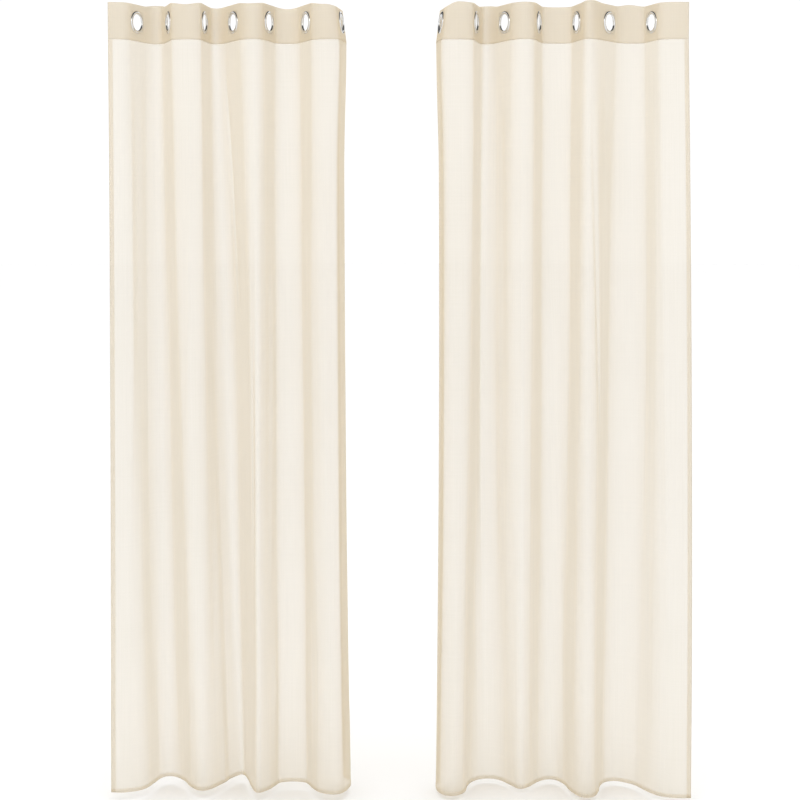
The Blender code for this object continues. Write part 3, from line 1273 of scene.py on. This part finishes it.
@dataclass(frozen=True)
class EyeletRings:
    """The pressed rings of one panel: a domed front, a flatter back, and a smooth bore."""

    bore_radius: float = 0.0215
    flange_radius: float = 0.0300
    front_height: float = 0.0040
    back_height: float = 0.0028
    around: int = 48
    section: int = 20

    def tree(self) -> bpy.types.NodeTree:
        """Build the Geometry Nodes tree that puts a ring at every point.

        Returns:
            The tree.
        """
        tree = bpy.data.node_groups.new("eyelet rings", "GeometryNodeTree")
        face = tree.interface
        face.new_socket("Geometry", in_out="INPUT", socket_type="NodeSocketGeometry")
        for name in ("Ring Radius", "Half Width", "Front Height", "Back Height"):
            face.new_socket(name, in_out="INPUT", socket_type="NodeSocketFloat")
        for name in ("Steps Around", "Steps in Section"):
            face.new_socket(name, in_out="INPUT", socket_type="NodeSocketInt")
        face.new_socket("Metal", in_out="INPUT", socket_type="NodeSocketMaterial")
        face.new_socket("Geometry", in_out="OUTPUT", socket_type="NodeSocketGeometry")
        given = add_node(tree, "NodeGroupInput").outputs
        outline = add_node(
            tree, "GeometryNodeCurvePrimitiveCircle",
            {"Resolution": given["Steps in Section"], "Radius": 1.0},
        ).outputs["Curve"]
        place = add_node(tree, "GeometryNodeInputPosition").outputs[0]
        upward = add_node(tree, "ShaderNodeSeparateXYZ", {0: place}).outputs["Y"]
        is_front = add_node(
            tree, "ShaderNodeMath", {0: upward, 1: 0.0}, operation="GREATER_THAN"
        ).outputs[0]
        height = add_node(
            tree, "ShaderNodeMix",
            {0: is_front, 2: given["Back Height"], 3: given["Front Height"]},
            data_type="FLOAT",
        ).outputs[0]
        size = add_node(
            tree, "ShaderNodeCombineXYZ", {"X": given["Half Width"], "Y": height}
        ).outputs[0]
        corner = add_node(
            tree, "ShaderNodeVectorMath", {0: place, 1: size}, operation="MULTIPLY"
        ).outputs[0]
        outline = add_node(
            tree, "GeometryNodeSetPosition", {"Geometry": outline, "Position": corner}
        ).outputs[0]
        circle = add_node(
            tree, "GeometryNodeCurvePrimitiveCircle",
            {"Resolution": given["Steps Around"], "Radius": given["Ring Radius"]},
        ).outputs["Curve"]
        ring = add_node(
            tree, "GeometryNodeCurveToMesh", {"Curve": circle, "Profile Curve": outline}
        ).outputs[0]
        turn = add_node(
            tree, "GeometryNodeInputNamedAttribute", {"Name": "turn"}, data_type="FLOAT_VECTOR"
        ).outputs[0]
        turn = add_node(tree, "FunctionNodeEulerToRotation", {0: turn}).outputs[0]
        placed = add_node(
            tree, "GeometryNodeInstanceOnPoints",
            {"Points": given["Geometry"], "Instance": ring, "Rotation": turn},
        ).outputs[0]
        made = add_node(tree, "GeometryNodeRealizeInstances", {"Geometry": placed}).outputs[0]
        made = add_node(
            tree, "GeometryNodeSetMaterial", {"Geometry": made, "Material": given["Metal"]}
        ).outputs[0]
        add_node(tree, "NodeGroupOutput", {"Geometry": made})
        return tree

    def build(self, heading: Heading, finishes: Finishes) -> bpy.types.Object:
        """Build all rings of one panel.

        Args:
            heading: The heading that they sit in.
            finishes: The pair's materials.

        Returns:
            The finished piece.
        """
        shape = heading.plan.shape
        places, turns = [], []
        for patch in heading.patches():
            outward = patch.up.cross(patch.along)
            if outward.y > 0.0:
                outward = -outward
            across = patch.up.cross(outward)
            turns.append(Matrix((across, patch.up, outward)).transposed().to_euler())
            places.append(patch.centre)
        mesh = bpy.data.meshes.new(shape.name + "_eyelet_rings")
        mesh.from_pydata(places, [], [])
        turn = mesh.attributes.new("turn", "FLOAT_VECTOR", "POINT")
        for item, euler in zip(turn.data, turns):
            item.vector = tuple(euler)
        rings = run_tree(new_object(mesh.name, mesh), self.tree(), {
            "Ring Radius": (self.flange_radius + self.bore_radius) / 2.0,
            "Half Width": (self.flange_radius - self.bore_radius) / 2.0,
            "Front Height": self.front_height,
            "Back Height": self.back_height,
            "Steps Around": self.around,
            "Steps in Section": self.section,
            "Metal": finishes.metal,
        })
        bm = bmesh.new()
        bm.from_mesh(rings.data)
        bmesh.ops.remove_doubles(bm, verts=bm.verts, dist=0.000001)
        bmesh.ops.recalc_face_normals(bm, faces=bm.faces)
        bm.to_mesh(rings.data)
        bm.free()
        rings.data.shade_smooth()
        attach(rings, "root")
        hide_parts(*[f"{shape.name}_eyelet_{i + 1}" for i in range(len(places))])
        return rings


@dataclass(frozen=True)
class Stitching:
    """Rows of lockstitch: under the heading, down both sides and along the hem."""

    pitch: float = 0.0040
    stitch_length: float = 0.0031
    # A real thread is 0.25 mm thick; drawn at 0.7 mm so that it shows at all
    thread_radius: float = 0.00035
    seam_inset: float = 0.004
    side_start: float = 0.004
    hem_inset: float = 0.001
    side_inset: float = 0.0015
    step: float = 0.004
    side_steps: int = 180

    def tree(self) -> bpy.types.NodeTree:
        """Build the Geometry Nodes tree that lays stitches along lines.

        Returns:
            The tree.
        """
        tree = bpy.data.node_groups.new("lockstitch", "GeometryNodeTree")
        face = tree.interface
        face.new_socket("Geometry", in_out="INPUT", socket_type="NodeSocketGeometry")
        for name in ("Pitch", "Stitch Length", "Thread Radius"):
            face.new_socket(name, in_out="INPUT", socket_type="NodeSocketFloat")
        face.new_socket("Thread", in_out="INPUT", socket_type="NodeSocketMaterial")
        face.new_socket("Geometry", in_out="OUTPUT", socket_type="NodeSocketGeometry")
        given = add_node(tree, "NodeGroupInput").outputs
        lines = add_node(tree, "GeometryNodeMeshToCurve", {"Mesh": given["Geometry"]}).outputs[0]
        points = add_node(
            tree, "GeometryNodeCurveToPoints",
            {"Curve": lines, "Length": given["Pitch"]},
            mode="LENGTH",
        ).outputs
        turn = add_node(
            tree, "FunctionNodeAlignRotationToVector", {"Vector": points["Tangent"]}, axis="X"
        ).outputs[0]
        half = add_node(tree, "ShaderNodeMath", {0: given["Stitch Length"], 1: 0.5},
                        operation="MULTIPLY").outputs[0]
        size = add_node(
            tree, "ShaderNodeCombineXYZ",
            {"X": half, "Y": given["Thread Radius"], "Z": given["Thread Radius"]},
        ).outputs[0]
        stitch = add_node(
            tree, "GeometryNodeMeshIcoSphere", {"Radius": 1.0, "Subdivisions": 1}
        ).outputs["Mesh"]
        placed = add_node(
            tree, "GeometryNodeInstanceOnPoints",
            {"Points": points["Points"], "Instance": stitch, "Rotation": turn, "Scale": size},
        ).outputs[0]
        made = add_node(tree, "GeometryNodeRealizeInstances", {"Geometry": placed}).outputs[0]
        made = add_node(
            tree, "GeometryNodeSetMaterial", {"Geometry": made, "Material": given["Thread"]}
        ).outputs[0]
        add_node(tree, "NodeGroupOutput", {"Geometry": made})
        return tree

    def lines(self, plan: PanelPlan) -> list[list[Vector]]:
        """Find every line of stitches of one panel.

        Args:
            plan: Where the panel's cloth runs.

        Returns:
            The seam, the hem and both sides, each as points.
        """
        shape = plan.shape
        ripple = RippledCloth(shape)
        hem = TOP_ABOVE_ROD - shape.drop
        count = round((FLAT_WIDTH - 2.0 * SIDE_HEM) / self.step)
        stations = [
            blend(SIDE_HEM, FLAT_WIDTH - SIDE_HEM, i / count) for i in range(count + 1)
        ]
        heading_places = plan.places(0.0, stations)
        seam = [
            plan.heading_point(place, station, SEAM + self.seam_inset)
            for place, station in zip(heading_places, stations)
        ]

        def cloth_points(height: float, along: list[float]) -> list[Vector]:
            """Find points of the hanging cloth at one height.

            Args:
                height: The height over the rod.
                along: Lengths along the cloth.

            Returns:
                The points in the row frame.
            """
            share = (SEAM - SEAM_GAP - height) / (SEAM - SEAM_GAP - hem)
            found = []
            for place, station in zip(plan.places(share, along), along):
                proud = ripple.depth_at(station, TOP_ABOVE_ROD - height) - LAYER_GAP / 2.0
                found.append(plan.cloth_point(place, station, height, proud))
            return found

        hem_line = cloth_points(hem + BOTTOM_HEM - self.hem_inset, stations)
        heights = [
            blend(SEAM - self.side_start, hem + BOTTOM_HEM, i / self.side_steps)
            for i in range(self.side_steps + 1)
        ]
        inset = SIDE_HEM - self.side_inset
        sides = [cloth_points(height, [inset, FLAT_WIDTH - inset]) for height in heights]
        return [seam, hem_line, [pair[0] for pair in sides], [pair[1] for pair in sides]]

    def build(self, plan: PanelPlan, finishes: Finishes) -> bpy.types.Object:
        """Build all stitches of one panel.

        Args:
            plan: Where the panel's cloth runs.
            finishes: The pair's materials.

        Returns:
            The finished piece.
        """
        corners, edges = [], []
        for line in self.lines(plan):
            first = len(corners)
            corners += line
            edges += [(first + i, first + i + 1) for i in range(len(line) - 1)]
        mesh = bpy.data.meshes.new(plan.shape.name + "_stitching")
        mesh.from_pydata(corners, edges, [])
        stitches = run_tree(new_object(mesh.name, mesh), self.tree(), {
            "Pitch": self.pitch,
            "Stitch Length": self.stitch_length,
            "Thread Radius": self.thread_radius,
            "Thread": finishes.thread,
        })
        stitches.data.shade_smooth()
        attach(stitches, "root")
        return stitches


@dataclass
class CurtainPanel:
    """One sheer panel: its cloth, its doubled heading, its rings and its stitching."""

    shape: PanelShape
    rings: EyeletRings = field(default_factory=EyeletRings)
    stitching: Stitching = field(default_factory=Stitching)

    def build(self, finishes: Finishes) -> None:
        """Build every piece of the panel.

        Args:
            finishes: The pair's materials.
        """
        plan = PanelPlan(self.shape)
        cloth = ClothSheet(plan).build(finishes)
        heading = Heading(plan)
        band = heading.build(finishes)
        rings = self.rings.build(heading, finishes)
        stitches = self.stitching.build(plan, finishes)
        for piece in (cloth, band, rings, stitches):
            LOG.info("%s: %d faces", piece.name, len(piece.data.polygons))


@dataclass(frozen=True)
class SoftBox:
    """A wide soft light: where it stands, the point that it faces, its size and power."""

    name: str
    place: tuple[float, float, float]
    aim: tuple[float, float, float]
    watts: float
    hex_colour: str
    size: tuple[float, float] = (3.0, 1.2)
    spread: float = math.radians(100.0)

    def add(self) -> None:
        """Add the light, unseen by the camera."""
        data = bpy.data.lights.new(self.name, "AREA")
        data.shape = "RECTANGLE"
        data.size, data.size_y = self.size
        data.energy = self.watts
        data.color = linear(self.hex_colour)[:3]
        data.spread = self.spread
        light = bpy.data.objects.new(self.name, data)
        light.location = self.place
        way = Vector(self.aim) - Vector(self.place)
        light.rotation_euler = way.to_track_quat("-Z", "Y").to_euler()
        light.visible_camera = False
        bpy.context.scene.collection.objects.link(light)


@dataclass(frozen=True)
class DarkPart:
    """Part of the mirrored room that is dark, on one axis of a direction of length 1.

    It darkens from starts to full, where strength is what is left of its light.
    """

    axis: str
    starts: float
    full: float
    strength: float


@dataclass
class Studio:
    """Camera, pale floor, even pale surroundings and soft lights."""

    camera_place: Vector = field(default_factory=lambda: Vector((0.004, -4.2, -0.543)))
    camera_tilt: float = math.radians(3.2)
    focal_pixels: float = 1552.0
    shift_down: float = 0.11
    floor_gap: float = 0.012
    floor_radius: float = 60.0
    floor_sides: int = 64
    sensor_width: float = 36.0
    light_strength: float = 0.74
    seen_strength: float = 1.04
    mirrored_strength: float = 1.1
    # Polished metal mirrors a bright room that is dark straight behind and overhead
    dark_parts: tuple[DarkPart, ...] = (
        DarkPart("Y", 0.65, 0.80, 0.03),
        DarkPart("Z", 0.30, 0.60, 0.02),
    )
    soft_boxes: tuple[SoftBox, ...] = (
        SoftBox("front soft box", (-1.0, -2.6, 1.1), (0.0, 0.0, 0.3), 5.0, "#FFFDF9"),
        SoftBox("back soft box", (0.6, 2.6, 1.1), (0.0, 0.0, 0.3), 4.0, "#FFFFFF"),
    )
    overhead_strength: float = 1.3
    overhead_angle: float = math.radians(50.0)

    def add_camera(self) -> None:
        """Add the camera at the photograph's place and angle."""
        data = bpy.data.cameras.new("camera")
        data.sensor_width = self.sensor_width
        data.lens = self.focal_pixels / IMAGE_SIZE * data.sensor_width
        data.shift_y = -self.shift_down
        camera = bpy.data.objects.new("camera", data)
        camera.location = self.camera_place
        camera.rotation_euler = Euler((math.pi / 2.0 - self.camera_tilt, 0.0, 0.0))
        bpy.context.scene.collection.objects.link(camera)
        bpy.context.scene.camera = camera

    def add_floor(self, lowest: float) -> None:
        """Add the floor a little under the lowest hem.

        Args:
            lowest: Height of the object's lowest point.
        """
        bm = bmesh.new()
        bmesh.ops.create_circle(
            bm, cap_ends=True, radius=self.floor_radius, segments=self.floor_sides
        )
        bmesh.ops.translate(bm, verts=bm.verts, vec=(0.0, 0.0, lowest - self.floor_gap))
        mesh = bpy.data.meshes.new("floor")
        bm.to_mesh(mesh)
        bm.free()
        floor = new_object("floor", mesh)
        floor.data.materials.append(PaleFloor().build())
        floor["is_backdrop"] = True

    def add_surroundings(self) -> None:
        """Light everything evenly from pale surroundings."""
        world = bpy.data.worlds.new("pale surroundings")
        world.use_nodes = True
        tree = world.node_tree
        tree.nodes.clear()
        white = linear("#FFFFFF")
        light = add_node(
            tree, "ShaderNodeBackground", {"Color": white, "Strength": self.light_strength}
        ).outputs[0]
        seen = add_node(
            tree, "ShaderNodeBackground", {"Color": white, "Strength": self.seen_strength}
        ).outputs[0]
        way = add_node(tree, "ShaderNodeTexCoord").outputs["Generated"]
        way = add_node(tree, "ShaderNodeSeparateXYZ", {0: way}).outputs
        brightness = self.mirrored_strength
        for part in self.dark_parts:
            there = add_node(
                tree, "ShaderNodeMapRange",
                {"Value": way[part.axis], "From Min": part.starts, "From Max": part.full,
                 "To Min": self.mirrored_strength, "To Max": part.strength},
            ).outputs[0]
            brightness = add_node(
                tree, "ShaderNodeMath", {0: brightness, 1: there}, operation="MINIMUM"
            ).outputs[0]
        mirrored = add_node(
            tree, "ShaderNodeBackground", {"Color": white, "Strength": brightness}
        ).outputs[0]
        rays = add_node(tree, "ShaderNodeLightPath").outputs
        shown = add_node(
            tree, "ShaderNodeMixShader", {0: rays["Is Camera Ray"], 1: light, 2: seen}
        ).outputs[0]
        shown = add_node(
            tree, "ShaderNodeMixShader", {0: rays["Is Glossy Ray"], 1: shown, 2: mirrored}
        ).outputs[0]
        add_node(tree, "ShaderNodeOutputWorld", {"Surface": shown})
        bpy.context.scene.world = world

    def add_overhead_light(self) -> None:
        """Light the floor evenly, out to where it meets the surroundings."""
        data = bpy.data.lights.new("overhead light", "SUN")
        data.energy = self.overhead_strength
        data.angle = self.overhead_angle
        light = bpy.data.objects.new("overhead light", data)
        light.visible_glossy = False
        bpy.context.scene.collection.objects.link(light)

    def build(self, lowest: float) -> None:
        """Build the whole studio around the object.

        Args:
            lowest: Height of the object's lowest point.
        """
        self.add_camera()
        self.add_floor(lowest)
        self.add_surroundings()
        for soft_box in self.soft_boxes:
            soft_box.add()
        self.add_overhead_light()
        view = bpy.context.scene.view_settings
        view.view_transform = "Standard"
        view.look = "None"


def main() -> None:
    """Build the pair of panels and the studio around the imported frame."""
    logging.basicConfig(level=logging.INFO, format="%(name)s: %(message)s")
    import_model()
    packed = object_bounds()
    Studio().build(packed[0].z)
    finishes = Finishes()
    for shape in (LEFT_PANEL, RIGHT_PANEL):
        CurtainPanel(shape).build(finishes)
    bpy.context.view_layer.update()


if __name__ == "__main__":
    main()
